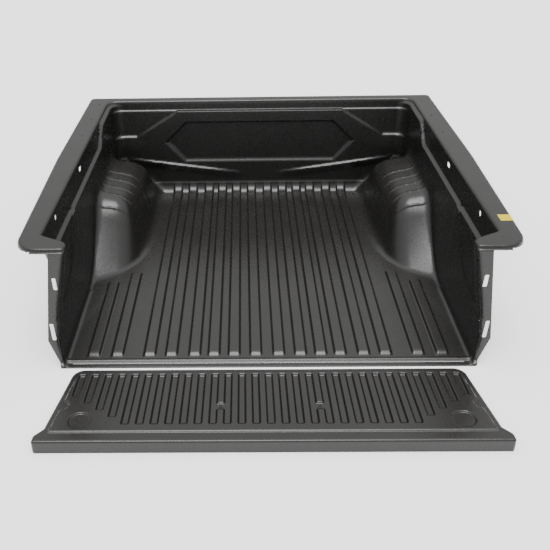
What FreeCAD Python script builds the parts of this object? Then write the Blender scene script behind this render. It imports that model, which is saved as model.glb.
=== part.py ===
import FreeCAD, Part
import math
import os

from FreeCAD import Vector

# Truck bed liner: a vacuum-formed tub that lies in a pickup's bed and over its rails, and a
# separate formed panel for the tailgate. Millimetres, +X to the right, +Y to the headboard, +Z up.
# The sizes are written with y = 0 at the tub's rear edge, and the whole model is moved once at
# the end, so that its origin is the middle of its footprint on the ground.

# Sheet
sheet = 4.0
reach = 60.0  # how far cutting tools run past what they cut
corner_share = 0.4  # part of the sheet thickness by which its sloping corners move

# Tub: overall
rail_top = 500.0
rail_half_width = 870.0
rail_front = 1520.0
rail_rear = 0.0
rail_rear_corner = 90.0
rail_front_corner = 22.0
rail_taper_start = 750.0
rail_taper = 26.0
rail_lip = 14.0

# Tub: side walls
wall_half_width = 752.0
set_out_half_width = 752.0  # the wall place for which places across the floor are given
wall_foot = 16.0
ledge_height = 392.0
ledge_width = 18.0
ledge_rise = 12.0

# Tub: rear posts, where the walls close in on the tailgate opening
post_length = 45.0
post_blend = 70.0
post_lean_foot = 120.0
post_inset = 80.0
post_top_straight = 12.0
flange_top_width = 52.0
flange_foot_width = 36.0
flange_foot_edge = 4.0
slot_width = 15.0
slot_spans = [(338.0, 388.0), (120.0, 196.0)]

# Tub: headboard, as steps back from its deepest face under the front rail
headboard_face = 1462.0
upper_pad_top = 452.0
upper_pad_depth = 8.0
lower_pad_depth = 12.0
crease_points = [(635.0, 318.0), (417.0, upper_pad_top)]
hexagon_points = [(395.0, 172.0), (495.0, 284.0), (379.0, 396.0)]
hexagon_depth = 10.0
ramp_height = 55.0
ramp_length = 7.0

# Tub: floor
rib_height = 10.0
rib_foot_width = 47.0
rib_top_width = 38.0
rib_rear = 45.0
rib_rear_slope = 26.0
rib_front_slope = 8.0
rib_joint_slope = 2.0  # where a full-length rib runs into the foot of the headboard
rib_joint_overlap = 3.0
rib_places = [42.7, 123.7, 199.4, 271.2, 358.5, 439.3]
outer_ribs = [(560.0, 617.0), (649.0, 545.0)]
sill_overhang = 10.0
sill_place = 25.0
sill_radius = 7.0

# Tub: wheel-arch humps
hump_height = 237.0
hump_inner_foot = 552.0
hump_draft = 58.0
hump_top_rise = 32.0
hump_top_round = 48.0
hump_rear_turn = 130.0
hump_front_turn = 90.0
hump_rear_foot = 590.0
hump_rear_run = 270.0
hump_rear_round = 260.0
hump_front_gap = 12.0
hump_front_run = 70.0
hump_front_round = 60.0
band_count = 5
band_first = 818.0
band_pitch = 77.0
band_width = 9.0
band_height = 3.0

# Tub: holes in the rails and in the upper walls
rail_hole_radius = 4.0
rail_hole_place = wall_half_width + 56.0
rail_hole_pitch = 210.0
rail_hole_count = 3
rail_hole_middle = 1205.0
tie_slot_place = (727.0, 460.0)
tie_slot_size = (40.0, 22.0)
tie_hole_place = (292.0, 464.0)
tie_hole_radius = 12.0

# Floor drain plug
plug_place = (532.0, 1390.0)
plug_radius = 26.0
plug_thickness = 4.0
plug_stem_radius = 14.0
plug_clearance = 0.3

# Label on the right rail
label_place = (wall_half_width + 70.0, 193.0)
label_size = 44.0
label_thickness = 0.4

# Tailgate panel, laid out flat: v runs from its hinged edge to its free edge, w is its height
panel_gap = 30.0
panel_tilt = 5.4
panel_sheet = 4.0
panel_length = 380.0
panel_far_half_width = 700.0
panel_waist_half_width = 733.0
panel_near_half_width = 759.0
panel_waist = 318.0
panel_flare = 350.0
panel_corner = 40.0
panel_edge_height = 12.0
field_rise = 5.0
field_margin = 20.0
field_length = 340.0
field_corner = 24.0
groove_count = 29
groove_pitch = 47.4
groove_width = 26.0
groove_depth = 8.0
groove_side = 2.0
groove_slope = 7.0
groove_start = 34.0
groove_end = 304.0
groove_wall = 3.0
short_grooves = 4
short_groove_step = 36.0
seat_pitches = 3.5
seat_place = 212.0
seat_length = 40.0
seat_side = 2.0
grip_place = (622.0, 283.0)
grip_radius = 40.0
grip_depth = 6.0
notch_place = 205.0
notch_radius = 22.0

# Tailgate panel fasteners
screw_radius = 2.6
screw_clearance = 0.4
screw_length = 22.0
screw_head_radius = 6.0
screw_head_height = 3.2
screw_head_round = 1.3
washer_radius = 9.5
washer_thickness = 2.0

# Worked out from the sizes above
across = wall_half_width / set_out_half_width
rib_places = [x * across for x in rib_places]
outer_ribs = [(x * across, y) for x, y in outer_ribs]
crease_points = [(x * across, z) for x, z in crease_points]
hexagon_points = [(x * across, z) for x, z in hexagon_points]
hump_inner_foot = hump_inner_foot * across
plug_place = (plug_place[0] * across, plug_place[1])
post_run = rail_top - post_top_straight - post_lean_foot
hem_drop = (panel_length - panel_sheet) * math.tan(math.radians(panel_tilt))
panel_hem_height = panel_edge_height + hem_drop
field_top = panel_edge_height + field_rise
groove_floor = field_top - groove_depth
lower_pad_face = headboard_face - upper_pad_depth - lower_pad_depth
panel_rear = (
    -panel_gap
    - panel_length * math.cos(math.radians(panel_tilt))
    - hem_drop * math.sin(math.radians(panel_tilt))
)
footprint_middle = (rail_front + panel_rear) / 2


# ---------------------------------------------------------------- shapes from outlines


def rounded_wire(points, radii):
    """A closed wire through 3-D points in one plane, each corner rounded by its own radius."""
    count = len(points)
    edges = []
    leave = []
    for i, corner in enumerate(points):
        before = (points[i - 1] - corner).normalize()
        after = (points[(i + 1) % count] - corner).normalize()
        radius = radii[i]
        if radius <= 0:
            leave.append((corner, corner, None))
            continue
        half = before.getAngle(after) / 2
        setback = radius / math.tan(half)
        toward_centre = (before + after).normalize()
        middle = corner + toward_centre * (radius / math.sin(half) - radius)
        leave.append((corner + before * setback, corner + after * setback, middle))
    for i, (start, end, middle) in enumerate(leave):
        if middle is not None:
            edges.append(Part.Arc(start, middle, end).toShape())
        following = leave[(i + 1) % count][0]
        if (following - end).Length > 1e-6:
            edges.append(Part.LineSegment(end, following).toShape())
    return Part.Wire(edges)


def closed_wire(points):
    return Part.makePolygon(points + [points[0]])


def prism_x(outline, x0, x1, radii=None):
    """Pulls an outline of (y, z) points along X."""
    points = [Vector(x0, y, z) for y, z in outline]
    wire = rounded_wire(points, radii) if radii else closed_wire(points)
    return Part.Face(wire).extrude(Vector(x1 - x0, 0, 0))


def prism_y(outline, y0, y1, radii=None):
    """Pulls an outline of (x, z) points along Y."""
    points = [Vector(x, y0, z) for x, z in outline]
    wire = rounded_wire(points, radii) if radii else closed_wire(points)
    return Part.Face(wire).extrude(Vector(0, y1 - y0, 0))


def prism_z(outline, z0, z1, radii=None):
    """Pulls an outline of (x, y) points along Z."""
    points = [Vector(x, y, z0) for x, y in outline]
    wire = rounded_wire(points, radii) if radii else closed_wire(points)
    return Part.Face(wire).extrude(Vector(0, 0, z1 - z0))


def block(x0, x1, y0, y1, z0, z1):
    return Part.makeBox(x1 - x0, y1 - y0, z1 - z0, Vector(x0, y0, z0))


def cylinder(x, y, z0, z1, radius):
    return Part.makeCylinder(radius, z1 - z0, Vector(x, y, z0))


def tapered_block(x, foot_width, top_width, y0, y1, end_slopes, z0, z1):
    """A block with sloping sides and ends: foot at z0, top at z1."""
    near_slope, far_slope = end_slopes
    foot = [(x - foot_width / 2, y0), (x + foot_width / 2, y0)]
    foot += [(x + foot_width / 2, y1), (x - foot_width / 2, y1)]
    top = [(x - top_width / 2, y0 + near_slope), (x + top_width / 2, y0 + near_slope)]
    top += [(x + top_width / 2, y1 - far_slope), (x - top_width / 2, y1 - far_slope)]
    wires = [
        closed_wire([Vector(a, b, z0) for a, b in foot]),
        closed_wire([Vector(a, b, z1) for a, b in top]),
    ]
    return Part.makeLoft(wires, True, True)


def mirrored(points):
    """Right-hand points from bottom to top, followed by their mirror images back down."""
    return points + [(-x, other) for x, other in reversed(points)]


def both_sides(shape):
    return [shape, shape.mirror(Vector(0, 0, 0), Vector(1, 0, 0))]


# ---------------------------------------------------------------- tub


def wall_section(y, lean, grow):
    """The tub's cross-section at y: its inside, or with grow = sheet its outside.

    lean is 0 along the bed and 1 at the rear posts."""
    slope = post_inset / post_run
    ledge = wall_half_width - lean * slope * (ledge_height - post_lean_foot) + grow
    width = ledge_width * (1 - lean) + lean * slope * ledge_rise / 2
    top = wall_half_width + ledge_width * (1 - lean) - lean * post_inset + grow
    floor = sheet - grow
    high = rail_top + (reach if grow == 0 else 0)
    drop = grow * corner_share
    right = [
        (wall_half_width - wall_foot + grow * corner_share, floor),
        (wall_half_width + grow, floor + wall_foot - drop),
        (wall_half_width + grow, post_lean_foot),
        (ledge, ledge_height - drop),
        (max(ledge + width * (1 - lean), top), ledge_height + ledge_rise - drop),
        (top, rail_top - post_top_straight),
        (top, high),
    ]
    return closed_wire([Vector(x, y, z) for x, z in mirrored(right)])


def tub_body(rear, front, grow):
    """Solid of the bed's inside or outside: rear posts, their blend, then the straight bed."""
    blend_end = post_length + post_blend
    runs = [(rear, 1, post_length, 1), (post_length, 1, blend_end, 0), (blend_end, 0, front, 0)]
    solids = []
    for y0, lean0, y1, lean1 in runs:
        wires = [wall_section(y0, lean0, grow), wall_section(y1, lean1, grow)]
        solids.append(Part.makeLoft(wires, True, True))
    return solids[0].fuse(solids[1:])


def rail_outline(inset):
    """The rails' outline seen from above, drawn in by inset."""
    right = [
        (rail_half_width - rail_taper - inset, rail_rear + inset),
        (rail_half_width - inset, rail_taper_start),
        (rail_half_width - inset, rail_front - inset),
    ]
    radii = [rail_rear_corner - inset, 0, rail_front_corner - inset]
    return mirrored(right), radii + radii[::-1]


def rail_caps():
    """The sheet over the bed rails, with its turned-down lip."""
    outline, radii = rail_outline(0)
    outside = prism_z(outline, rail_top - rail_lip, rail_top, radii)
    outline, radii = rail_outline(sheet)
    inside = prism_z(outline, rail_top - rail_lip - reach, rail_top - sheet, radii)
    return outside.cut(inside)


def post_flanges():
    """The rear-facing flanges beside the tailgate opening."""
    inner_top = wall_half_width - post_inset
    outline = [
        (wall_half_width - wall_foot, 0),
        (wall_half_width + flange_foot_edge, 0),
        (wall_half_width + flange_foot_width, post_lean_foot),
        (inner_top + flange_top_width, rail_top - sheet),
        (inner_top, rail_top - sheet),
    ]
    flange = prism_y(outline, 0, sheet)
    slots = []
    for low, high in slot_spans:
        share = ((low + high) / 2 - post_lean_foot) / post_run
        inner = wall_half_width - post_inset * share
        width = flange_foot_width + (flange_top_width - flange_foot_width) * share
        x = inner + sheet + (width - sheet) / 2
        slots.append(block(x - slot_width / 2, x + slot_width / 2, -reach, sheet + 1, low, high))
    return both_sides(flange), [side for slot in slots for side in both_sides(slot)]


def pad_outline(points, inset):
    """A headboard step's outline, from below the floor up to its top edge."""
    far = wall_half_width + reach
    low = points[0][1] - inset
    return mirrored([(far, -reach), (far, low)] + [(x - inset / 2, z - inset) for x, z in points])


def headboard_pads():
    """What the headboard's two steps fill of the bed, and the hollows behind them."""
    upper = [(wall_half_width + reach - 1, upper_pad_top)]
    upper_face = headboard_face - upper_pad_depth
    fills = [
        prism_y(pad_outline(upper, 0), upper_face, headboard_face + 1),
        prism_y(pad_outline(crease_points, 0), lower_pad_face, upper_face + 1),
    ]
    front = headboard_face + reach
    hollows = [
        prism_y(pad_outline(upper, sheet), upper_face + sheet, front),
        prism_y(pad_outline(crease_points, sheet), lower_pad_face + sheet, front),
    ]
    return fills, hollows


def hexagon(grow, y0, y1):
    points = [
        (hexagon_points[0][0] + grow, hexagon_points[0][1] - grow),
        (hexagon_points[1][0] + grow, hexagon_points[1][1]),
        (hexagon_points[2][0] + grow, hexagon_points[2][1] + grow),
    ]
    return prism_y(mirrored(points), y0, y1)


def front_ramp():
    """The sloping foot of the headboard, and the hollow under it."""
    foot = lower_pad_face - ramp_length
    width = wall_half_width + sheet / 2
    outline = [(foot, 0), (foot, sheet), (lower_pad_face, ramp_height)]
    outline += [(lower_pad_face + sheet, ramp_height), (lower_pad_face + sheet, 0)]
    hollow = [(foot + sheet, -reach), (foot + sheet, sheet)]
    hollow += [(lower_pad_face + sheet, ramp_height - sheet), (lower_pad_face + reach, ramp_height - sheet)]
    hollow += [(lower_pad_face + reach, -reach)]
    inner = wall_half_width - sheet
    return prism_x(outline, -width, width), prism_x(hollow, -inner, inner)


def hump(grow, outer_x):
    """A right-hand wheel-arch hump: its outside, or with grow = -sheet the hollow in it."""
    base = -reach
    edge = hump_height + grow
    top = edge + hump_top_rise
    rear = hump_rear_foot - grow
    front = lower_pad_face - hump_front_gap + grow
    along = [(rear, base), (rear, 0), (rear + hump_rear_run, top)]
    along += [(front - hump_front_run, top), (front, 0), (front, base)]
    along_radii = [0, 0, hump_rear_round, hump_front_round, 0, 0]
    inner = hump_inner_foot - grow
    across = [(inner, base), (inner, 0), (inner + hump_draft, edge), (outer_x, top), (outer_x, base)]
    across_radii = [0, 0, hump_top_round, 0, 0]
    plan = [(inner, rear), (inner, front), (outer_x, front), (outer_x, rear)]
    plan_radii = [hump_rear_turn + grow, hump_front_turn + grow, 0, 0]
    side = prism_x(along, inner - reach, outer_x, along_radii)
    arch = side.common(prism_y(across, rear - reach, front + reach, across_radii))
    return arch.common(prism_z(plan, base, top + 1, plan_radii))


def hump_bands():
    """The raised bands across the top of a hump."""
    limit = block(0, wall_half_width + 1, 0, rail_front, ramp_height, rail_top)
    raised = hump(band_height, wall_half_width + 1).common(limit)
    bands = []
    for i in range(band_count):
        y = band_first + i * band_pitch
        bands.append(raised.common(block(0, rail_half_width, y, y + band_width, 0, rail_top)))
    return bands


def floor_ribs():
    """The floor's raised ribs and the hollows under them."""
    full_end = lower_pad_face - ramp_length + rib_joint_overlap
    places = [(x, full_end, rib_joint_slope) for x in rib_places]
    places += [(x, end, rib_front_slope) for x, end in outer_ribs]
    solids = []
    hollows = []
    taper = rib_foot_width - rib_top_width
    high = sheet + rib_height
    for x, end, front_slope in places:
        slopes = (rib_rear_slope, front_slope)
        rib = tapered_block(x, rib_foot_width, rib_top_width, rib_rear, end, slopes, sheet, high)
        hollow = tapered_block(
            x,
            rib_foot_width - sheet,
            rib_foot_width - sheet - taper,
            rib_rear + sheet,
            end - sheet,
            slopes,
            -1,
            high - sheet,
        )
        solids += both_sides(rib)
        hollows += both_sides(hollow)
    return solids, hollows


def tub_holes():
    """Rail screw holes, tie-down openings in the upper walls, and the drain."""
    holes = []
    for i in range(rail_hole_count):
        y = rail_hole_middle + (i - (rail_hole_count - 1) / 2) * rail_hole_pitch
        holes += both_sides(
            cylinder(rail_hole_place, y, rail_top - sheet - 1, rail_top + 1, rail_hole_radius)
        )
    x0 = wall_half_width
    x1 = wall_half_width + ledge_width + sheet + 2
    y, z = tie_slot_place
    width, height = tie_slot_size
    slot = block(x0, x1, y - width / 2, y + width / 2, z - height / 2, z + height / 2)
    y, z = tie_hole_place
    hole = Part.makeCylinder(tie_hole_radius, x1 - x0, Vector(x0, y, z), Vector(1, 0, 0))
    holes += both_sides(slot) + both_sides(hole)
    holes.append(cylinder(*plug_place, -1, sheet + 1, plug_stem_radius + plug_clearance))
    return holes


def bed_tub():
    outside = tub_body(0, headboard_face + sheet, sheet)
    inside = tub_body(-reach, headboard_face, 0)
    fills, hollows = headboard_pads()
    inside = inside.cut(fills)
    flanges, slots = post_flanges()
    tub = outside.fuse([rail_caps()] + flanges)
    tub = tub.cut([inside] + hollows)
    tub = tub.fuse(hexagon(sheet, lower_pad_face, lower_pad_face + hexagon_depth + sheet))
    tub = tub.cut(hexagon(0, lower_pad_face - 1, lower_pad_face + hexagon_depth))
    ramp, ramp_hollow = front_ramp()
    tub = tub.fuse(ramp).cut(ramp_hollow)
    ribs, rib_hollows = floor_ribs()
    tub = tub.fuse(ribs).cut(rib_hollows)
    above = block(-rail_half_width, rail_half_width, 0, rail_front, 0, rail_top)
    shell = hump(0, wall_half_width + sheet).common(above)
    shell = shell.fuse(hump_bands())
    hollow = hump(-sheet, wall_half_width + reach)
    tub = tub.fuse(both_sides(shell)).cut(both_sides(hollow))
    bead_width = wall_half_width - wall_foot
    bead = Part.makeCylinder(
        sill_radius, 2 * bead_width, Vector(-bead_width, sill_place, sheet), Vector(1, 0, 0)
    )
    bead = bead.common(above)
    lip = block(-bead_width, bead_width, -sill_overhang, 1, 0, sheet)
    tub = tub.fuse([bead, lip])
    return tub.cut(slots + tub_holes()).removeSplitter()


def drain_plug():
    x, y = plug_place
    cap = cylinder(x, y, sheet, sheet + plug_thickness, plug_radius)
    stem = cylinder(x, y, 0, sheet, plug_stem_radius)
    return cap.fuse(stem).removeSplitter()


def inspection_label():
    x, y = label_place
    half = label_size / 2
    return block(x - half, x + half, y - half, y + half, rail_top, rail_top + label_thickness)


# ---------------------------------------------------------------- tailgate panel


def panel_outline(inset):
    right = [
        (panel_far_half_width - inset, -inset),
        (panel_waist_half_width - inset, -panel_waist),
        (panel_near_half_width - inset, -panel_flare),
        (panel_near_half_width - inset, -panel_length + inset),
    ]
    radii = [panel_corner - inset, 0, 0, 0]
    return mirrored(right), radii + radii[::-1]


def field_outline(inset):
    """The raised field, parallel to the panel's sides."""
    spread = (panel_waist_half_width - panel_far_half_width) / panel_waist
    near = panel_far_half_width + spread * field_length
    right = [
        (panel_far_half_width - field_margin - inset, -field_margin - inset),
        (near - field_margin - inset, -field_length + inset),
    ]
    radii = [field_corner - inset, 0]
    return mirrored(right), radii + radii[::-1]


def groove_places():
    """Each groove's place across the panel and the place where it ends."""
    places = []
    for i in range(groove_count):
        from_edge = min(i, groove_count - 1 - i)
        short = max(0, short_grooves - from_edge)
        x = (i - (groove_count - 1) / 2) * groove_pitch
        places.append((x, groove_end - short * short_groove_step))
    return places


def groove(x, end, grow):
    """A groove's cut, or with grow = groove_wall the sheet that carries it."""
    width = groove_width + 2 * grow
    low = groove_floor - (panel_sheet if grow else 0)
    high = field_top + (0 if grow else 1)
    y0 = -end - grow
    y1 = -groove_start + grow
    if grow:
        return block(x - width / 2, x + width / 2, y0, y1, low, high)
    floor_width = width - 2 * groove_side
    slopes = (groove_slope, groove_slope)
    cut = tapered_block(x, floor_width, width, y0 + groove_slope, y1 - groove_slope, (0, 0), low, high)
    ramp = tapered_block(x, width, floor_width, y0, y1, slopes, high, low)
    return cut.fuse(ramp)


def seat(side, grow):
    """A low seat across a rib, where a screw goes through."""
    x = side * seat_pitches * groove_pitch
    rib_width = groove_pitch - groove_width
    half = rib_width / 2 + seat_side + grow
    low = groove_floor - (panel_sheet if grow else 0)
    high = field_top + (0 if grow else 1)
    y0 = -seat_place - seat_length / 2 - grow
    y1 = -seat_place + seat_length / 2 + grow
    return block(x - half, x + half, y0, y1, low, high)


def round_recesses(grow):
    """The two grips near the free edge and the notches in the field's sides."""
    spread = (panel_waist_half_width - panel_far_half_width) / panel_waist
    notch_x = panel_far_half_width - field_margin + spread * notch_place
    top = field_top + (0 if grow else 1)
    x, v = grip_place
    low = field_top - grip_depth - (panel_sheet if grow else 0)
    shapes = both_sides(cylinder(x, -v, low, top, grip_radius + grow))
    low = panel_edge_height - (panel_sheet if grow else 0)
    notch = cylinder(notch_x, -notch_place, low, top, notch_radius + grow)
    outline, radii = panel_outline(panel_sheet)
    notch = notch.common(prism_z(outline, low, field_top + 1, radii))
    return shapes + both_sides(notch)


def tailgate_panel():
    outline, radii = panel_outline(0)
    panel = prism_z(outline, 0, panel_edge_height, radii)
    outline, radii = panel_outline(panel_sheet)
    panel = panel.cut(prism_z(outline, -reach, panel_edge_height - panel_sheet, radii))
    hem = block(
        -panel_near_half_width,
        panel_near_half_width,
        -panel_length,
        -panel_length + panel_sheet,
        panel_edge_height - panel_hem_height,
        panel_edge_height,
    )
    outline, radii = field_outline(0)
    field = prism_z(outline, panel_edge_height - panel_sheet, field_top, radii)
    outline, radii = field_outline(panel_sheet)
    hollow = prism_z(outline, -reach, field_top - panel_sheet, radii)
    panel = panel.fuse([hem, field]).cut(hollow)
    sides = (-1, 1)
    trays = [groove(x, end, groove_wall) for x, end in groove_places()]
    trays += [seat(side, groove_wall) for side in sides] + round_recesses(groove_wall)
    cuts = [groove(x, end, 0) for x, end in groove_places()]
    cuts += [seat(side, 0) for side in sides] + round_recesses(0)
    for side in sides:
        x = side * seat_pitches * groove_pitch
        cuts.append(cylinder(x, -seat_place, 0, field_top, screw_radius + screw_clearance))
    return panel.fuse(trays).cut(cuts).removeSplitter()


def tailgate_screws():
    screws = []
    under_head = groove_floor + washer_thickness
    for side in (-1, 1):
        x = side * seat_pitches * groove_pitch
        shank = cylinder(x, -seat_place, under_head - screw_length, under_head, screw_radius)
        head = cylinder(x, -seat_place, under_head, under_head + screw_head_height, screw_head_radius)
        head = head.makeFillet(screw_head_round, [head.Edges[0]])
        screws.append(shank.fuse(head).removeSplitter())
    return Part.makeCompound(screws)


def tailgate_washers():
    washers = []
    for side in (-1, 1):
        x = side * seat_pitches * groove_pitch
        top = groove_floor + washer_thickness
        ring = cylinder(x, -seat_place, groove_floor, top, washer_radius)
        washers.append(ring.cut(cylinder(x, -seat_place, 0, top + 1, screw_radius + screw_clearance)))
    return Part.makeCompound(washers)


# ---------------------------------------------------------------- place and write


def place(shape, on_panel):
    placed = shape.copy()
    if on_panel:
        placed.rotate(Vector(0, 0, 0), Vector(1, 0, 0), -panel_tilt)
        placed.translate(Vector(0, -panel_gap, 0))
    placed.translate(Vector(0, -footprint_middle, 0))
    return placed


nodes = {
    "bed_tub": (bed_tub, False),
    "drain_plug": (drain_plug, False),
    "inspection_label": (inspection_label, False),
    "tailgate_panel": (tailgate_panel, True),
    "tailgate_screws": (tailgate_screws, True),
    "tailgate_washers": (tailgate_washers, True),
}

os.makedirs("parts", exist_ok=True)
for name, (make, on_panel) in nodes.items():
    place(make(), on_panel).exportStep(f"parts/{name}.step")
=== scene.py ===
import math

import bmesh
import bpy
import numpy as np
from mathutils import Matrix, Vector


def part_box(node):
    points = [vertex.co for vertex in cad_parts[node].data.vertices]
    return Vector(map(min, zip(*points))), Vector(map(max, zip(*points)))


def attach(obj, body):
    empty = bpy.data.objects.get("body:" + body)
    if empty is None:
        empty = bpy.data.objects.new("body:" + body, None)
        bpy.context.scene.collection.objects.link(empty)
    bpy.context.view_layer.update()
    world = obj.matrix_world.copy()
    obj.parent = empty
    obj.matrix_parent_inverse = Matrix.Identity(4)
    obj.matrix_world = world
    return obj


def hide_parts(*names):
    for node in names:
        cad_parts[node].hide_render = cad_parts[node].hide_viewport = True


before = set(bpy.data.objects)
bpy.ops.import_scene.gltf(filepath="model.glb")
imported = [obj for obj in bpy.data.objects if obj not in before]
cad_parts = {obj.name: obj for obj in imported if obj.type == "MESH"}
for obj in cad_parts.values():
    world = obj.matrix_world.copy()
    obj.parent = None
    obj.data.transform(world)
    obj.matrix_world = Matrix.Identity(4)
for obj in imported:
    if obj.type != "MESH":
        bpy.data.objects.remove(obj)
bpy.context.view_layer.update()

# Metres. Lengths are laid out with y = 0 at the tub's rear edge, as the CAD source has them, and
# tub_start moves them into the frame.
sheet = 0.004
rail_front = 1.520
tub_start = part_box("bed_tub")[1].y - rail_front
rail_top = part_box("bed_tub")[1].z
rail_half_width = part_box("bed_tub")[1].x

# Rails
rail_rear = 0.0
rail_rear_corner = 0.090
rail_front_corner = 0.022
rail_taper = 0.026
rail_taper_start = 0.750
rail_lip = 0.014
rail_edge_blend = 0.016
lip_rear_drop = 0.050  # how far behind the rear line the outline lies below the lip
lip_step = 0.006
rail_hole_radius = 0.004
rail_hole_place = 0.808
rail_hole_pitch = 0.210
rail_hole_middle = 1.205

# Side walls
wall_half_width = 0.752
ledge_height = 0.398
ledge_front_height = 0.482
ledge_front_start = 1.080
ledge_front_end = 1.200
ledge_width = 0.018
ledge_slope = 0.014
crease_line_y = (0.138, 0.204, 0.308, 0.394, 0.446, 0.480)
crease_line_z = (0.207, 0.211, 0.246, 0.338, 0.397, 0.430)
crease_depth = 0.004
crease_width = 0.010
crease_fade = 0.020
corner_blend = 0.045
foot_blend = 0.020

# Rear posts
post_length = 0.045
post_blend = 0.070
post_lean_foot = 0.120
post_inset = 0.080
post_top_straight = 0.012
flange_foot_width = 0.036
flange_top_width = 0.052
flange_foot_edge = 0.004
flange_setback = 0.003
post_edge_blend = 0.014
slot_width = 0.015
slot_spans = ((0.338, 0.388), (0.120, 0.196))
tie_slot_place = (0.727, 0.460)
tie_slot_size = (0.040, 0.022)
tie_hole_place = (0.292, 0.464)
tie_hole_radius = 0.012

# Headboard
headboard_face = 1.462
upper_pad_top = 0.452
upper_pad_depth = 0.008
lower_pad_depth = 0.012
pad_crease_x = (0.417, 0.635)
pad_crease_z = (0.452, 0.318)
pad_crease_width = 0.008
pad_crease_spread = 0.005  # added to that width on the sloping part
pad_crease_turn = 0.020
hexagon_points = ((0.395, 0.172), (0.495, 0.284), (0.379, 0.396))
hexagon_depth = 0.010
hexagon_low_bevel = 0.018
hexagon_high_bevel = 0.009
ramp_depth = 0.012
ramp_edge_share = 0.4
ramp_cove = 0.036
cove_least = 0.012
cove_heights = (0.05, 0.12)
corner_reach = (0.60, 0.72)
ramp_rise_x = (0.594, 0.710)
ramp_rise_z = (0.058, 0.200)
slash_x = (0.087, 0.710)
slash_z = (0.116, 0.205)
slash_depth = 0.012
slash_fade = 0.050

# Floor
rib_height = 0.010
rib_foot_width = 0.047
rib_top_width = 0.038
rib_rear = 0.045
rib_rear_slope = 0.026
rib_front_slope = 0.008
rib_places = (0.0427, 0.1237, 0.1994, 0.2712, 0.3585, 0.4393)
outer_ribs = ((0.560, 0.617), (0.649, 0.545))
sill_overhang = 0.010
sill_heights = (0.006, 0.020)
edge_blend_heights = (0.004, 0.030)
edge_blend_least = 0.005
sill_bead_place = 0.025
sill_bead_height = 0.008
sill_bead_width = 0.013

# Wheel-arch humps
hump_height = 0.237
hump_draft = 0.058
hump_foot_middle = 1.170
hump_foot_least = 0.533
hump_foot_curve = 0.20
hump_top_rise = 0.032
hump_rear_foot = 0.650
hump_rear_foot_x = 0.580
hump_rear_slant = 0.76
hump_rear_end = 0.850
hump_rear_power = 1.5
hump_rear_blend = 0.070
hump_front_foot = 1.440
hump_front_lean = 0.588
hump_edge_blend = 0.060
hump_foot_blend = 0.040
hump_rear_foot_blend = 0.012
hump_foot_blend_run = (0.66, 0.84)
hump_top_inner = 0.60
hump_rear_over = 0.040  # how far the rear slope runs on above the top
band_heights = (0.05, 0.10)
band_first = 0.822
band_pitch = 0.077
band_count = 5
band_half_width = 0.006
band_height = 0.003

# Tailgate panel, laid out flat: v runs from its hinged edge to its free edge
panel_gap = 0.030
panel_tilt = math.radians(5.4)
panel_length = 0.380
panel_far_half_width = 0.700
panel_waist_half_width = 0.733
panel_near_half_width = 0.759
panel_waist = 0.318
panel_flare = 0.350
panel_corner = 0.040
panel_edge_height = 0.012
panel_edge_blend = 0.010
panel_near_corner = 0.008
field_rise = 0.005
field_margin = 0.020
field_length = 0.340
field_corner = 0.024
groove_count = 29
groove_pitch = 0.0474
groove_width = 0.026
groove_depth = 0.008
groove_side = 0.003
groove_slope = 0.009
groove_start = 0.034
groove_end = 0.304
short_grooves = 4
short_groove_step = 0.036
seat_pitches = 3.5
seat_place = 0.212
seat_length = 0.040
seat_margin = 0.003
seat_side = 0.002
seat_end = 0.008
grip_place = (0.622, 0.283)
grip_radius = 0.040
grip_depth = 0.006
notch_place = 0.205
notch_radius = 0.022
notch_blend = 0.004

# Looks and light
sheet_dark = (0.0115, 0.0110, 0.0106)
sheet_light = (0.0185, 0.0176, 0.0168)
sheet_roughness = 0.27
grain_scale = 650
ground_glow = 0.3
sky_low = 0.50
sky_high = 1.90
sun_strength = 3.3
sun_spread = 36  # degrees
sun_place = (-0.03, -0.25, 1.0)

# Camera, behind the tailgate panel and looking down into the tub; angles in radians
camera_place = (-0.0812, -1.834, 1.6056)
camera_turn = (-0.0173, -0.5914, -0.0177)  # yaw, pitch and roll
camera_lens = 43.2
camera_shift = (0.0717, 0.011)


# ---------------------------------------------------------------- smooth shapes


def smooth_min(a, b, blend):
    share = np.clip(0.5 + 0.5 * (b - a) / blend, 0, 1)
    return b * (1 - share) + a * share - blend * share * (1 - share)


def smooth_max(a, b, blend):
    return -smooth_min(-a, -b, blend)


def rise(value, start, end):
    """0 before start, 1 after end, and an S-curve between them."""
    share = np.clip((value - start) / (end - start), 0, 1)
    return share * share * (3 - 2 * share)


def corner_distance(a, b, radius):
    """Distance outside two edges whose shared corner has this radius."""
    beyond = np.hypot(np.maximum(a + radius, 0), np.maximum(b + radius, 0))
    return np.minimum(np.maximum(a, b) + radius, 0) + beyond - radius


# ---------------------------------------------------------------- tub surface


def floor_height(x, y):
    """Top of the floor, with its ribs and the bead along the sill."""
    ribs = [(place, headboard_face + rib_front_slope, rib_front_slope) for place in rib_places]
    ribs += [(place, end, rib_front_slope) for place, end in outer_ribs]
    height = np.zeros(np.broadcast(x, y).shape)
    for place, end, front_slope in ribs:
        across = 1 - rise(np.abs(x - place), rib_top_width / 2, rib_foot_width / 2)
        along = rise(y, rib_rear, rib_rear + rib_rear_slope)
        along = along * (1 - rise(y, end - front_slope, end))
        height = np.maximum(height, across * along * rib_height)
    bead = sill_bead_height * (1 - rise(np.abs(y - sill_bead_place), 0, sill_bead_width))
    return sheet + np.maximum(height, bead)


def post_lean(y):
    return 1 - rise(y, post_length, post_length + post_blend)


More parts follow.
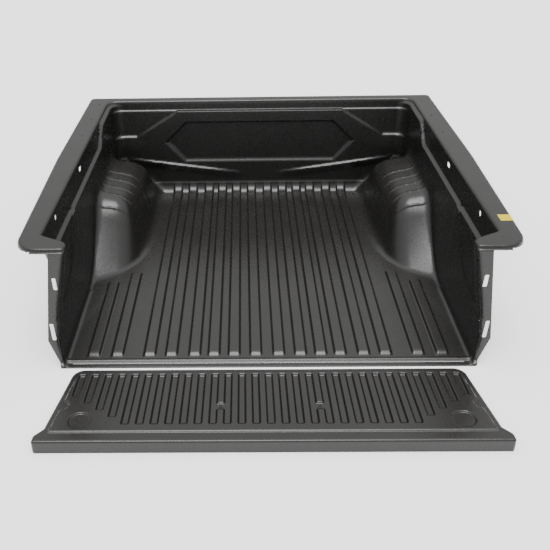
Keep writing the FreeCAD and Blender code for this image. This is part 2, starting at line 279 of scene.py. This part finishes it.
def wall_place(y, z):
    """Inner face of the side wall: ledge, crease and the lean of the rear post."""
    climb = rise(y, ledge_front_start, ledge_front_end)
    ledge = ledge_height + (ledge_front_height - ledge_height) * climb
    step = rise(z, ledge - ledge_slope / 2, ledge + ledge_slope / 2)
    crease = np.interp(y, crease_line_y, crease_line_z)
    end = crease_line_y[-1]
    below = rise(crease - z, 0, crease_width) * (1 - rise(y, end, end + crease_fade))
    run = rail_top - post_top_straight - post_lean_foot
    inset = post_inset * np.clip((z - post_lean_foot) / run, 0, 1)
    lean = post_lean(y)
    return wall_half_width + ledge_width * step * (1 - lean) - crease_depth * below - inset * lean


def hexagon_distance(x, z):
    """Distance outside the headboard's hexagon, and the width of the bevel along its edge."""
    low, side, high = hexagon_points
    distance = np.maximum(low[1] - z, z - high[1])
    bevel = np.where(z < side[1], hexagon_low_bevel, hexagon_high_bevel)
    for a, b in ((low, side), (side, high)):
        along = Vector((b[0] - a[0], b[1] - a[1])).normalized()
        distance = np.maximum(distance, (x - a[0]) * along[1] - (z - a[1]) * along[0])
    return distance, bevel


def headboard_place(x, z):
    """Rear-facing surface of the headboard, with its steps, hexagon, ledges and foot."""
    face = headboard_face - upper_pad_depth * rise(upper_pad_top - z, -0.004, 0.006)
    crease = np.interp(x, pad_crease_x, pad_crease_z)
    sloped = rise(x, pad_crease_x[0], pad_crease_x[0] + pad_crease_turn)
    width = pad_crease_width + pad_crease_spread * sloped
    face = face - lower_pad_depth * rise((crease - z) / width, -0.3, 0.7)
    distance, bevel = hexagon_distance(x, z)
    face = face + hexagon_depth * rise(-distance / bevel, 0, 1)
    slash = np.interp(x, slash_x, slash_z)
    taper = np.clip((x - slash_x[0]) / (slash_x[1] - slash_x[0]), 0, 1)
    depth = slash_depth * 4 * taper * (1 - taper)
    under = slash - z
    face = face - depth * rise(under, -0.004, 0.008) * (1 - rise(under, 0.008, slash_fade))
    ramp = np.interp(x, ramp_rise_x, ramp_rise_z)
    edge = ramp_edge_share * rise(ramp - z, -0.004, 0.008)
    slope = (1 - ramp_edge_share) * rise(ramp - z, 0.004, 0.046)
    return face - ramp_depth * (edge + slope)


def hump_distance(x, y, z):
    """Distance outside a wheel-arch hump."""
    foot = hump_foot_least + hump_foot_curve * (y - hump_foot_middle) ** 2
    inner = (foot + hump_draft * z / hump_height - x) * 0.97
    inward = (x - hump_top_inner) / (wall_half_width - hump_top_inner)
    top = hump_height + hump_top_rise * np.clip(inward, 0, 1)
    start = hump_rear_foot - hump_rear_slant * (x - hump_rear_foot_x)
    share = np.clip((y - start) / (hump_rear_end - start), 0, 2)
    slope = (hump_height + hump_rear_over) * share**hump_rear_power - 0.002
    above = (z - smooth_min(top, slope, hump_rear_blend)) * 0.80
    front = (y - hump_front_foot + hump_front_lean * (z - 0.05)) * 0.86
    outside = smooth_max(smooth_max(inner, above, hump_edge_blend), front, hump_edge_blend)
    for i in range(band_count):
        offset = np.abs(y - band_first - i * band_pitch)
        raised = band_height * (1 - rise(offset, 0, band_half_width))
        outside = outside - raised * rise(z, *band_heights)
    return outside


def rail_outside(x, y, z):
    """Distance outside the rails' outline; below the lip its rear line does not count."""
    lip = rail_top - rail_lip
    rear_line = rail_rear - lip_rear_drop * (1 - rise(z, lip - lip_step, lip))
    side = x - rail_half_width + rail_taper * np.clip(1 - y / rail_taper_start, 0, 1)
    rear = corner_distance(side, rear_line - y, rail_rear_corner)
    front = corner_distance(side, y - rail_front, rail_front_corner)
    return np.where(y < rail_front / 2, rear, front)


def tub_field(x, y, z):
    """Positive in the air above or beside the sheet, 0 on its upper skin, for one half of the tub."""
    x = np.abs(x)
    bed = smooth_min(z - floor_height(x, y), wall_place(y, z) - x, foot_blend)
    cove = cove_least + ramp_cove * (1 - rise(z, *cove_heights))
    corner = corner_blend * rise(x, *corner_reach)
    bed = smooth_min(bed, headboard_place(x, z) - y, corner + cove)
    foot = hump_rear_foot_blend + (hump_foot_blend - hump_rear_foot_blend) * rise(y, *hump_foot_blend_run)
    bed = smooth_min(bed, hump_distance(x, y, z), foot)
    air = smooth_max(bed, z - rail_top, rail_edge_blend)
    air = smooth_max(air, rail_outside(x, y, z), rail_edge_blend)
    lip = rail_top - rail_lip
    rear_face = -sill_overhang + (sill_overhang + flange_setback) * rise(z, *sill_heights)
    rear_face = rear_face - flange_setback * rise(z, lip - lip_step, lip)
    blend = post_edge_blend * rise(z, *edge_blend_heights) + edge_blend_least
    return smooth_max(air, rear_face - y, blend)


# ---------------------------------------------------------------- tailgate panel surface


def panel_edge(v):
    places = (0, panel_waist, panel_flare)
    widths = (panel_far_half_width, panel_waist_half_width, panel_near_half_width)
    return np.interp(v, places, widths)


def panel_outside(u, v):
    """Distance outside the panel's outline."""
    far = corner_distance(u - panel_edge(v), -v, panel_corner)
    near = corner_distance(u - panel_edge(v), v - panel_length, panel_near_corner)
    return np.where(v < panel_length / 2, far, near)


def field_inside(u, v):
    """Distance inside the raised field, less the notches in its sides."""
    spread = (panel_waist_half_width - panel_far_half_width) / panel_waist
    side = u - (panel_far_half_width - field_margin + spread * v)
    outside = corner_distance(side, field_margin - v, field_corner)
    outside = np.maximum(outside, v - field_length)
    notch_u = panel_far_half_width - field_margin + spread * notch_place
    notch = notch_radius - np.hypot(u - notch_u, v - notch_place)
    return -smooth_max(outside, notch, notch_blend)


def groove_cut(u, v):
    """How deep the nearest groove cuts, from 0 to 1."""
    last = (groove_count - 1) / 2
    nearest = np.clip(np.round(u / groove_pitch), 0, last)
    across = np.abs(u - nearest * groove_pitch)
    short = np.clip(short_grooves - (last - nearest), 0, short_grooves)
    end = groove_end - short * short_groove_step
    side = 1 - rise(across, groove_width / 2 - groove_side, groove_width / 2)
    return side * rise(v, groove_start, groove_start + groove_slope) * (1 - rise(v, end - groove_slope, end))


def seat_cut(u, v):
    """The low seats across two ribs, where the screws go through."""
    half = (groove_pitch - groove_width) / 2 + seat_margin
    across = 1 - rise(np.abs(u - seat_pitches * groove_pitch), half, half + seat_side)
    along = 1 - rise(np.abs(v - seat_place), seat_length / 2 - seat_end, seat_length / 2)
    return across * along


def panel_field(u, v, w):
    """Positive above or beside the panel, 0 on its skin, for one half of the panel."""
    u = np.abs(u)
    height = panel_edge_height + field_rise * rise(field_inside(u, v), -0.001, 0.005)
    height = height - groove_depth * np.maximum(groove_cut(u, v), seat_cut(u, v))
    grip = grip_radius - np.hypot(u - grip_place[0], v - grip_place[1])
    height = height - grip_depth * rise(grip, 0, 0.006)
    return smooth_max(w - height, panel_outside(u, v), panel_edge_blend)


# ---------------------------------------------------------------- meshes from the surfaces


def spaced(marks, step, least=0.0015):
    """Grid lines through the marks, with the gaps between them divided to step or less."""
    lines = []
    for mark in sorted(marks):
        if not lines or mark - lines[-1] > least:
            lines.append(mark)
    filled = [lines[0]]
    for a, b in zip(lines, lines[1:]):
        parts = max(1, math.ceil((b - a) / step - 1e-6))
        filled += [a + (b - a) * i / parts for i in range(1, parts + 1)]
    return np.array(filled)


def gradient(field, points, reach=0.0004):
    slopes = []
    for axis in range(3):
        offset = np.zeros(3)
        offset[axis] = reach
        ahead = field(*(points + offset).T)
        behind = field(*(points - offset).T)
        slopes.append((ahead - behind) / (2 * reach))
    return np.stack(slopes, 1)


def crossing_sum(values, lines, axis):
    """Sums and counts of the zero crossings on each cell's four edges along one axis."""
    low = np.take(values, range(values.shape[axis] - 1), axis)
    high = np.take(values, range(1, values.shape[axis]), axis)
    crossed = (low < 0) != (high < 0)
    share = np.where(crossed, low / np.where(crossed, low - high, 1), 0)
    shape = [1, 1, 1]
    shape[axis] = -1
    places = []
    for other in range(3):
        shape_other = [1, 1, 1]
        shape_other[other] = -1
        if other == axis:
            start = lines[axis][:-1].reshape(shape)
            length = np.diff(lines[axis]).reshape(shape)
            places.append(np.where(crossed, start + share * length, 0))
        else:
            places.append(np.where(crossed, lines[other].reshape(shape_other), 0))
    stacked = np.stack(places + [crossed.astype(float)])
    for other in range(3):
        if other != axis:
            size = stacked.shape[other + 1]
            near = np.take(stacked, range(size - 1), other + 1)
            stacked = near + np.take(stacked, range(1, size), other + 1)
    return stacked


def surface_mesh(field, lines):
    """Points and quads of the field's zero surface on a grid of cells, one point to a cell."""
    x, y, z = lines
    values = field(x[:, None, None], y[None, :, None], z[None, None, :])
    total = sum(crossing_sum(values, lines, axis) for axis in range(3))
    active = total[3] > 0
    numbers = np.full(active.shape, -1)
    numbers[active] = np.arange(active.sum())
    points = (total[:3, active] / total[3, active]).T
    quads = []
    for axis in range(3):
        low = np.take(values, range(values.shape[axis] - 1), axis)
        high = np.take(values, range(1, values.shape[axis]), axis)
        others = [other for other in range(3) if other != axis]
        inner = [slice(None)] * 3
        for other in others:
            inner[other] = slice(1, -1)
        crossed = ((low < 0) != (high < 0))[tuple(inner)]
        upward = (low < 0)[tuple(inner)][crossed]
        cell = np.argwhere(crossed)
        corners = []
        for a, b in ((0, 0), (1, 0), (1, 1), (0, 1)):
            index = cell.copy()
            index[:, others[0]] += a
            index[:, others[1]] += b
            corners.append(numbers[tuple(index.T)])
        faces = np.stack(corners, 1)
        flip = ~upward if axis != 1 else upward
        faces[flip] = faces[flip][:, ::-1]
        quads.append(faces)
    limit = 0.008
    for _ in range(4):
        slope = gradient(field, points)
        size = np.maximum((slope**2).sum(1), 1e-6)
        step = slope * (field(*points.T) / size)[:, None]
        length = np.linalg.norm(step, axis=1)
        points = points - step * np.minimum(1, limit / np.maximum(length, 1e-9))[:, None]
    return points, np.concatenate(quads)


def new_bmesh(points, quads):
    bm = bmesh.new()
    verts = [bm.verts.new(point) for point in points]
    for quad in quads:
        if len(set(quad)) == 4:
            bm.faces.new([verts[i] for i in quad])
    return bm


def trim(bm, point, normal, chosen):
    """Cuts the chosen faces along a plane and removes what lies on the normal's side."""
    point, normal = Vector(point), Vector(normal)
    faces = [face for face in bm.faces if chosen(face.calc_center_median())]
    edges = {edge for face in faces for edge in face.edges}
    verts = {vert for face in faces for vert in face.verts}
    bmesh.ops.bisect_plane(bm, geom=[*verts, *edges, *faces], plane_co=point, plane_no=normal, dist=1e-6)
    gone = []
    for face in bm.faces:
        centre = face.calc_center_median()
        if chosen(centre) and (centre - point).dot(normal) > 0:
            gone.append(face)
    bmesh.ops.delete(bm, geom=gone, context="FACES")


def cut_opening(bm, centre, across, up, outline, reach):
    """Cuts an opening, given as its outline around centre in the plane of across and up."""
    centre, across, up = Vector(centre), Vector(across), Vector(up)
    through = across.cross(up)
    radius = max(math.hypot(a, b) for a, b in outline) + 0.02

    def near(place):
        offset = place - centre
        return abs(offset.dot(through)) < reach and offset.length < radius + reach

    sides = []
    for i, (a, b) in enumerate(outline):
        c, d = outline[(i + 1) % len(outline)]
        normal = (across * (d - b) - up * (c - a)).normalized()
        sides.append((centre + across * a + up * b, normal))
    for point, normal in sides:
        faces = [face for face in bm.faces if near(face.calc_center_median())]
        edges = {edge for face in faces for edge in face.edges}
        verts = {vert for face in faces for vert in face.verts}
        bmesh.ops.bisect_plane(bm, geom=[*verts, *edges, *faces], plane_co=point, plane_no=normal, dist=1e-6)
    gone = []
    for face in bm.faces:
        place = face.calc_center_median()
        if near(place) and all((place - point).dot(normal) < 0 for point, normal in sides):
            gone.append(face)
    bmesh.ops.delete(bm, geom=gone, context="FACES")


def rounded_slot(width, height, corner):
    points = []
    for quarter in range(4):
        cx = (width / 2 - corner) * (1 if quarter in (0, 3) else -1)
        cy = (height / 2 - corner) * (1 if quarter < 2 else -1)
        for i in range(4):
            angle = math.pi / 2 * (quarter + i / 3)
            points.append((cx + corner * math.cos(angle), cy + corner * math.sin(angle)))
    return points


def ring(radius, count=14):
    angles = [math.tau * i / count for i in range(count)]
    return [(radius * math.cos(angle), radius * math.sin(angle)) for angle in angles]


def sheet_piece(name, bm, field, place, side, thickness=sheet):
    """A closed piece: the skin, the same skin one thickness below it, and a rim around them."""
    bm.verts.ensure_lookup_table()
    bm.verts.index_update()
    skin = np.array([vert.co for vert in bm.verts])
    normals = gradient(field, skin)
    normals /= np.maximum(np.linalg.norm(normals, axis=1), 1e-9)[:, None]
    faces = [[vert.index for vert in face.verts] for face in bm.faces]
    rims = []
    for edge in bm.edges:
        if len(edge.link_faces) == 1:
            loop = edge.link_loops[0]
            rims.append((loop.vert.index, loop.link_loop_next.vert.index))
    bm.free()
    facing = np.array([1.0, 1.0, 1.0])
    facing[0] = side
    seam = np.abs(skin[:, 0]) < 1e-5
    inward = normals.copy()
    inward[seam, 0] = 0
    count = len(skin)
    points = np.concatenate([skin, skin - inward * thickness]) * facing
    both = np.concatenate([normals, -normals]) * facing
    polygons = list(faces)
    polygons += [[i + count for i in reversed(face)] for face in faces]
    polygons += [[b, a, a + count, b + count] for a, b in rims]
    origin = place((0, 0, 0))
    axes = Matrix([place(axis) - origin for axis in ((1, 0, 0), (0, 1, 0), (0, 0, 1))])
    if axes.determinant() * side < 0:
        polygons = [face[::-1] for face in polygons]
    placed = [place(point) for point in points]
    for point in placed:
        point.z = max(point.z, 0)
    mesh = bpy.data.meshes.new(name)
    mesh.from_pydata(placed, [], polygons)
    mesh.validate(clean_customdata=False)
    mesh.update()
    turned = [place(point) for point in both]
    loop_normals = []
    smooth_count = 2 * len(faces)
    for polygon in mesh.polygons:
        polygon.use_smooth = True
        for index in polygon.vertices:
            if polygon.index < smooth_count:
                loop_normals.append(turned[index] - origin)
            else:
                loop_normals.append(polygon.normal.copy())
    mesh.normals_split_custom_set(loop_normals)
    piece = bpy.data.objects.new(name, mesh)
    bpy.context.scene.collection.objects.link(piece)
    return piece


def in_tub(point):
    return Vector((point[0], point[1] + tub_start, point[2]))


def on_panel(point):
    """Lays a point of the flat panel on the slope of the tailgate panel."""
    u, v, w = point
    y = -v * math.cos(panel_tilt) + w * math.sin(panel_tilt)
    z = v * math.sin(panel_tilt) + w * math.cos(panel_tilt)
    return Vector((u, y - panel_gap + tub_start, z))


# ---------------------------------------------------------------- tub


def tub_lines():
    rib_marks = []
    for place in list(rib_places) + [rib[0] for rib in outer_ribs]:
        for half in (rib_foot_width / 2, (rib_foot_width + rib_top_width) / 4, rib_top_width / 2):
            rib_marks += [place - half, place + half]
    wall = [0.735, 0.745, 0.752, 0.758, 0.764, 0.770, 0.776, 0.784, 0.842, 0.849, 0.856, 0.863, 0.870, 0.878]
    x = spaced([-0.006, 0.006] + rib_marks + wall, 0.011)
    bands = []
    for i in range(band_count):
        bands += [band_first + band_pitch * i + side * 0.008 for side in (-1, -0.4, 0.4, 1)]
    near = [-0.018, -0.010, -0.004, 0.002, 0.008, 0.016, 0.025, 0.034, 0.045, 0.058, 0.071, 0.09, 0.115]
    far = [1.426, 1.432, 1.438, 1.444, 1.450, 1.456, 1.462, 1.470, 1.506, 1.514, 1.520, 1.528]
    y = spaced(near + bands + far, 0.014)
    floor = [-0.008, -0.002, 0.002, 0.005, 0.008, 0.011, 0.014, 0.018, 0.024, 0.032]
    upper = [0.388, 0.394, 0.400, 0.406, 0.444, 0.450, 0.456, 0.482, 0.488, 0.493, 0.497, 0.500, 0.508]
    z = spaced(floor + upper, 0.008)
    return x, y, z


def trim_tub(bm):
    trim(bm, (0, 0, 0), (-1, 0, 0), lambda p: p.x < 0.02)
    trim(bm, (0, 0, 0), (0, 0, -1), lambda p: p.z < 0.02)
    low = rail_top - rail_lip

    def outer(p):
        return rail_outside(np.float64(p.x), np.float64(p.y), rail_top) > -0.014 and p.z < low + 0.03

    trim(bm, (0, 0, low), (0, 0, -1), lambda p: outer(p) and (p.y > 0.012 or p.x > wall_half_width + 0.05))
    foot = Vector((wall_half_width + flange_foot_edge, 0, 0))
    knee = Vector((wall_half_width + flange_foot_width, 0, post_lean_foot))
    top = Vector((wall_half_width - post_inset + flange_top_width, 0, rail_top))
    for a, b in ((foot, knee), (knee, top)):
        along = (b - a).normalized()
        normal = Vector((along.z, 0, -along.x))
        trim(bm, a, normal, lambda p: p.y < 0.010 and a.z - 0.004 < p.z < min(b.z + 0.004, low))


def flange_slots():
    run = rail_top - post_top_straight - post_lean_foot
    places = []
    for low, high in slot_spans:
        share = ((low + high) / 2 - post_lean_foot) / run
        inner = wall_half_width - post_inset * share
        width = flange_foot_width + (flange_top_width - flange_foot_width) * share
        places.append((inner + sheet + (width - sheet) / 2, (low + high) / 2, high - low))
    return places


def cut_tub(bm):
    for x, z, height in flange_slots():
        cut_opening(bm, (x, 0, z), (1, 0, 0), (0, 0, 1), rounded_slot(slot_width, height, 0.004), 0.006)
    wall = wall_half_width + ledge_width
    y, z = tie_slot_place
    cut_opening(bm, (wall, y, z), (0, 1, 0), (0, 0, 1), rounded_slot(*tie_slot_size, 0.006), 0.008)
    y, z = tie_hole_place
    cut_opening(bm, (wall, y, z), (0, 1, 0), (0, 0, 1), ring(tie_hole_radius), 0.008)
    for i in (-1, 0, 1):
        y = rail_hole_middle + i * rail_hole_pitch
        centre = (rail_hole_place, y, rail_top)
        cut_opening(bm, centre, (1, 0, 0), (0, 1, 0), ring(rail_hole_radius, 10), 0.006)


def make_tub(material):
    points, quads = surface_mesh(tub_field, tub_lines())
    bm = new_bmesh(points, quads)
    trim_tub(bm)
    cut_tub(bm)
    other = bm.copy()
    for name, side, half in (("tub_sheet_right", 1, bm), ("tub_sheet_left", -1, other)):
        piece = sheet_piece(name, half, tub_field, in_tub, side)
        piece.data.materials.append(material)
        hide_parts("bed_tub")
        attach(piece, "tub")


# ---------------------------------------------------------------- tailgate panel


def panel_lines():
    marks = [-0.006, 0.006]
    for i in range(groove_count // 2 + 1):
        for offset in (groove_width / 2, groove_width / 2 - groove_side / 2, groove_width / 2 - groove_side):
            marks += [i * groove_pitch - offset, i * groove_pitch + offset]
    marks = [mark for mark in marks if mark > 0 or mark == -0.006]
    u = spaced(marks + [0.700, 0.720, 0.740, 0.752, 0.759, 0.766], 0.009)
    near = [-0.006, 0.0, 0.004, 0.020, 0.025, 0.034, 0.038, 0.043]
    far = [0.295, 0.300, 0.304, 0.334, 0.340, 0.346, 0.372, 0.376, 0.380, 0.386]
    v = spaced(near + far, 0.007)
    w = spaced([-0.044, -0.036, 0.0, 0.003, 0.006, 0.009, 0.012, 0.0145, 0.017, 0.021], 0.008)
    return u, v, w


def make_panel(material):
    points, quads = surface_mesh(panel_field, panel_lines())
    bm = new_bmesh(points, quads)
    drop = (panel_length - sheet) * math.tan(panel_tilt)
    hem = panel_length - 0.004
    trim(bm, (0, 0, 0), (-1, 0, 0), lambda p: p.x < 0.02)
    trim(bm, (0, 0, 0), (0, 0, -1), lambda p: p.y < hem)
    trim(bm, (0, 0, -drop), (0, 0, -1), lambda p: p.y >= hem)
    other = bm.copy()
    for name, side, half in (("tailgate_sheet_right", 1, bm), ("tailgate_sheet_left", -1, other)):
        piece = sheet_piece(name, half, panel_field, on_panel, side)
        piece.data.materials.append(material)
        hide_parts("tailgate_panel")
        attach(piece, "tailgate")


# ---------------------------------------------------------------- materials


def new_material(name):
    material = bpy.data.materials.new(name)
    material.use_nodes = True
    nodes = material.node_tree.nodes
    return material, nodes, material.node_tree.links, nodes["Principled BSDF"]


def noise(nodes, links, place, scale, detail):
    texture = nodes.new("ShaderNodeTexNoise")
    texture.inputs["Scale"].default_value = scale
    texture.inputs["Detail"].default_value = detail
    links.new(place.outputs["Object"], texture.inputs["Vector"])
    return texture


def formed_sheet(name, dark, light, roughness):
    """Formed polyethylene: fine leather-like grain, faint scuffs and slightly uneven gloss."""
    material, nodes, links, shader = new_material(name)
    place = nodes.new("ShaderNodeTexCoord")
    shader.inputs["Specular IOR Level"].default_value = 0.5
    cloud = noise(nodes, links, place, 6, 3)
    tint = nodes.new("ShaderNodeMix")
    tint.data_type = "RGBA"
    tint.inputs["A"].default_value = (*dark, 1)
    tint.inputs["B"].default_value = (*light, 1)
    links.new(cloud.outputs["Fac"], tint.inputs["Factor"])
    links.new(tint.outputs["Result"], shader.inputs["Base Color"])
    scuff = noise(nodes, links, place, 45, 4)
    spread = nodes.new("ShaderNodeMapRange")
    spread.inputs["To Min"].default_value = roughness - 0.05
    spread.inputs["To Max"].default_value = roughness + 0.07
    links.new(scuff.outputs["Fac"], spread.inputs["Value"])
    links.new(spread.outputs["Result"], shader.inputs["Roughness"])
    grain = nodes.new("ShaderNodeTexVoronoi")
    grain.inputs["Scale"].default_value = grain_scale
    links.new(place.outputs["Object"], grain.inputs["Vector"])
    bump = nodes.new("ShaderNodeBump")
    bump.inputs["Strength"].default_value = 0.35
    bump.inputs["Distance"].default_value = 0.0003
    links.new(grain.outputs["Distance"], bump.inputs["Height"])
    links.new(bump.outputs["Normal"], shader.inputs["Normal"])
    return material


def small_part(name, colour, roughness, metallic, scale):
    material, nodes, links, shader = new_material(name)
    place = nodes.new("ShaderNodeTexCoord")
    shader.inputs["Metallic"].default_value = metallic
    texture = noise(nodes, links, place, scale, 3)
    tint = nodes.new("ShaderNodeMix")
    tint.data_type = "RGBA"
    tint.inputs["A"].default_value = (*[c * 0.85 for c in colour], 1)
    tint.inputs["B"].default_value = (*[min(1, c * 1.15) for c in colour], 1)
    links.new(texture.outputs["Fac"], tint.inputs["Factor"])
    links.new(tint.outputs["Result"], shader.inputs["Base Color"])
    shader.inputs["Roughness"].default_value = roughness
    bump = nodes.new("ShaderNodeBump")
    bump.inputs["Strength"].default_value = 0.2
    bump.inputs["Distance"].default_value = 0.0002
    links.new(texture.outputs["Fac"], bump.inputs["Height"])
    links.new(bump.outputs["Normal"], shader.inputs["Normal"])
    return material


def dress_node(node, material):
    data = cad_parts[node].data
    data.materials.clear()
    data.materials.append(material)


# ---------------------------------------------------------------- stage, lights and camera


def make_stage():
    bpy.ops.mesh.primitive_plane_add(size=30, location=(0, 0, -0.0005))
    ground = bpy.context.object
    ground.name = "ground"
    material, nodes, links, shader = new_material("pale_ground")
    shader.inputs["Base Color"].default_value = (0.95, 0.95, 0.95, 1)
    shader.inputs["Emission Color"].default_value = (1, 1, 1, 1)
    shader.inputs["Emission Strength"].default_value = ground_glow
    shader.inputs["Roughness"].default_value = 0.9
    shader.inputs["Specular IOR Level"].default_value = 0.1
    ground.data.materials.append(material)


def make_sky():
    """A white studio, bright overhead and dim towards the horizon."""
    world = bpy.data.worlds.new("studio")
    world.use_nodes = True
    nodes = world.node_tree.nodes
    links = world.node_tree.links
    place = nodes.new("ShaderNodeTexCoord")
    parts = nodes.new("ShaderNodeSeparateXYZ")
    strength = nodes.new("ShaderNodeMapRange")
    strength.inputs["From Min"].default_value = 0.2
    strength.inputs["From Max"].default_value = 1.0
    strength.inputs["To Min"].default_value = sky_low
    strength.inputs["To Max"].default_value = sky_high
    links.new(place.outputs["Generated"], parts.inputs["Vector"])
    links.new(parts.outputs["Z"], strength.inputs["Value"])
    links.new(strength.outputs["Result"], nodes["Background"].inputs["Strength"])
    nodes["Background"].inputs["Color"].default_value = (1, 1, 1, 1)
    bpy.context.scene.world = world


def soft_sun(name, target, place, power, spread):
    """An even light from one direction, spread over a wide cone so that its shadows are soft."""
    light = bpy.data.lights.new(name, "SUN")
    light.energy = power
    light.angle = math.radians(spread)
    lamp = bpy.data.objects.new(name, light)
    lamp.rotation_euler = (Vector(target) - Vector(place)).to_track_quat("-Z", "Y").to_euler()
    bpy.context.scene.collection.objects.link(lamp)


def make_camera():
    """Looks down into the tub from behind the tailgate panel."""
    yaw, pitch, roll = camera_turn
    forward = Vector((math.sin(yaw) * math.cos(pitch), math.cos(yaw) * math.cos(pitch), math.sin(pitch)))
    level = Vector((math.cos(yaw), -math.sin(yaw), 0))
    lift = level.cross(forward)
    right = level * math.cos(roll) + lift * math.sin(roll)
    up = lift * math.cos(roll) - level * math.sin(roll)
    data = bpy.data.cameras.new("camera")
    data.lens = camera_lens
    data.sensor_width = 36
    data.shift_x, data.shift_y = camera_shift
    camera = bpy.data.objects.new("camera", data)
    turn = Matrix((right, up, -forward)).transposed().to_4x4()
    x, y, z = camera_place
    camera.matrix_world = Matrix.Translation((x, y + tub_start, z)) @ turn
    bpy.context.scene.collection.objects.link(camera)
    bpy.context.scene.camera = camera


black_sheet = formed_sheet("black_sheet", sheet_dark, sheet_light, sheet_roughness)
make_tub(black_sheet)
make_panel(black_sheet)
dress_node("drain_plug", small_part("black_rubber", (0.03, 0.03, 0.03), 0.6, 0, 300))
dress_node("inspection_label", small_part("yellow_film", (0.62, 0.47, 0.0), 0.5, 0, 120))
dress_node("tailgate_screws", small_part("black_steel", (0.04, 0.04, 0.04), 0.35, 0.8, 400))
dress_node("tailgate_washers", small_part("black_nylon", (0.035, 0.035, 0.035), 0.5, 0, 300))
make_stage()
make_sky()
soft_sun("overhead", (0, 0, 0), sun_place, sun_strength, sun_spread)
make_camera()
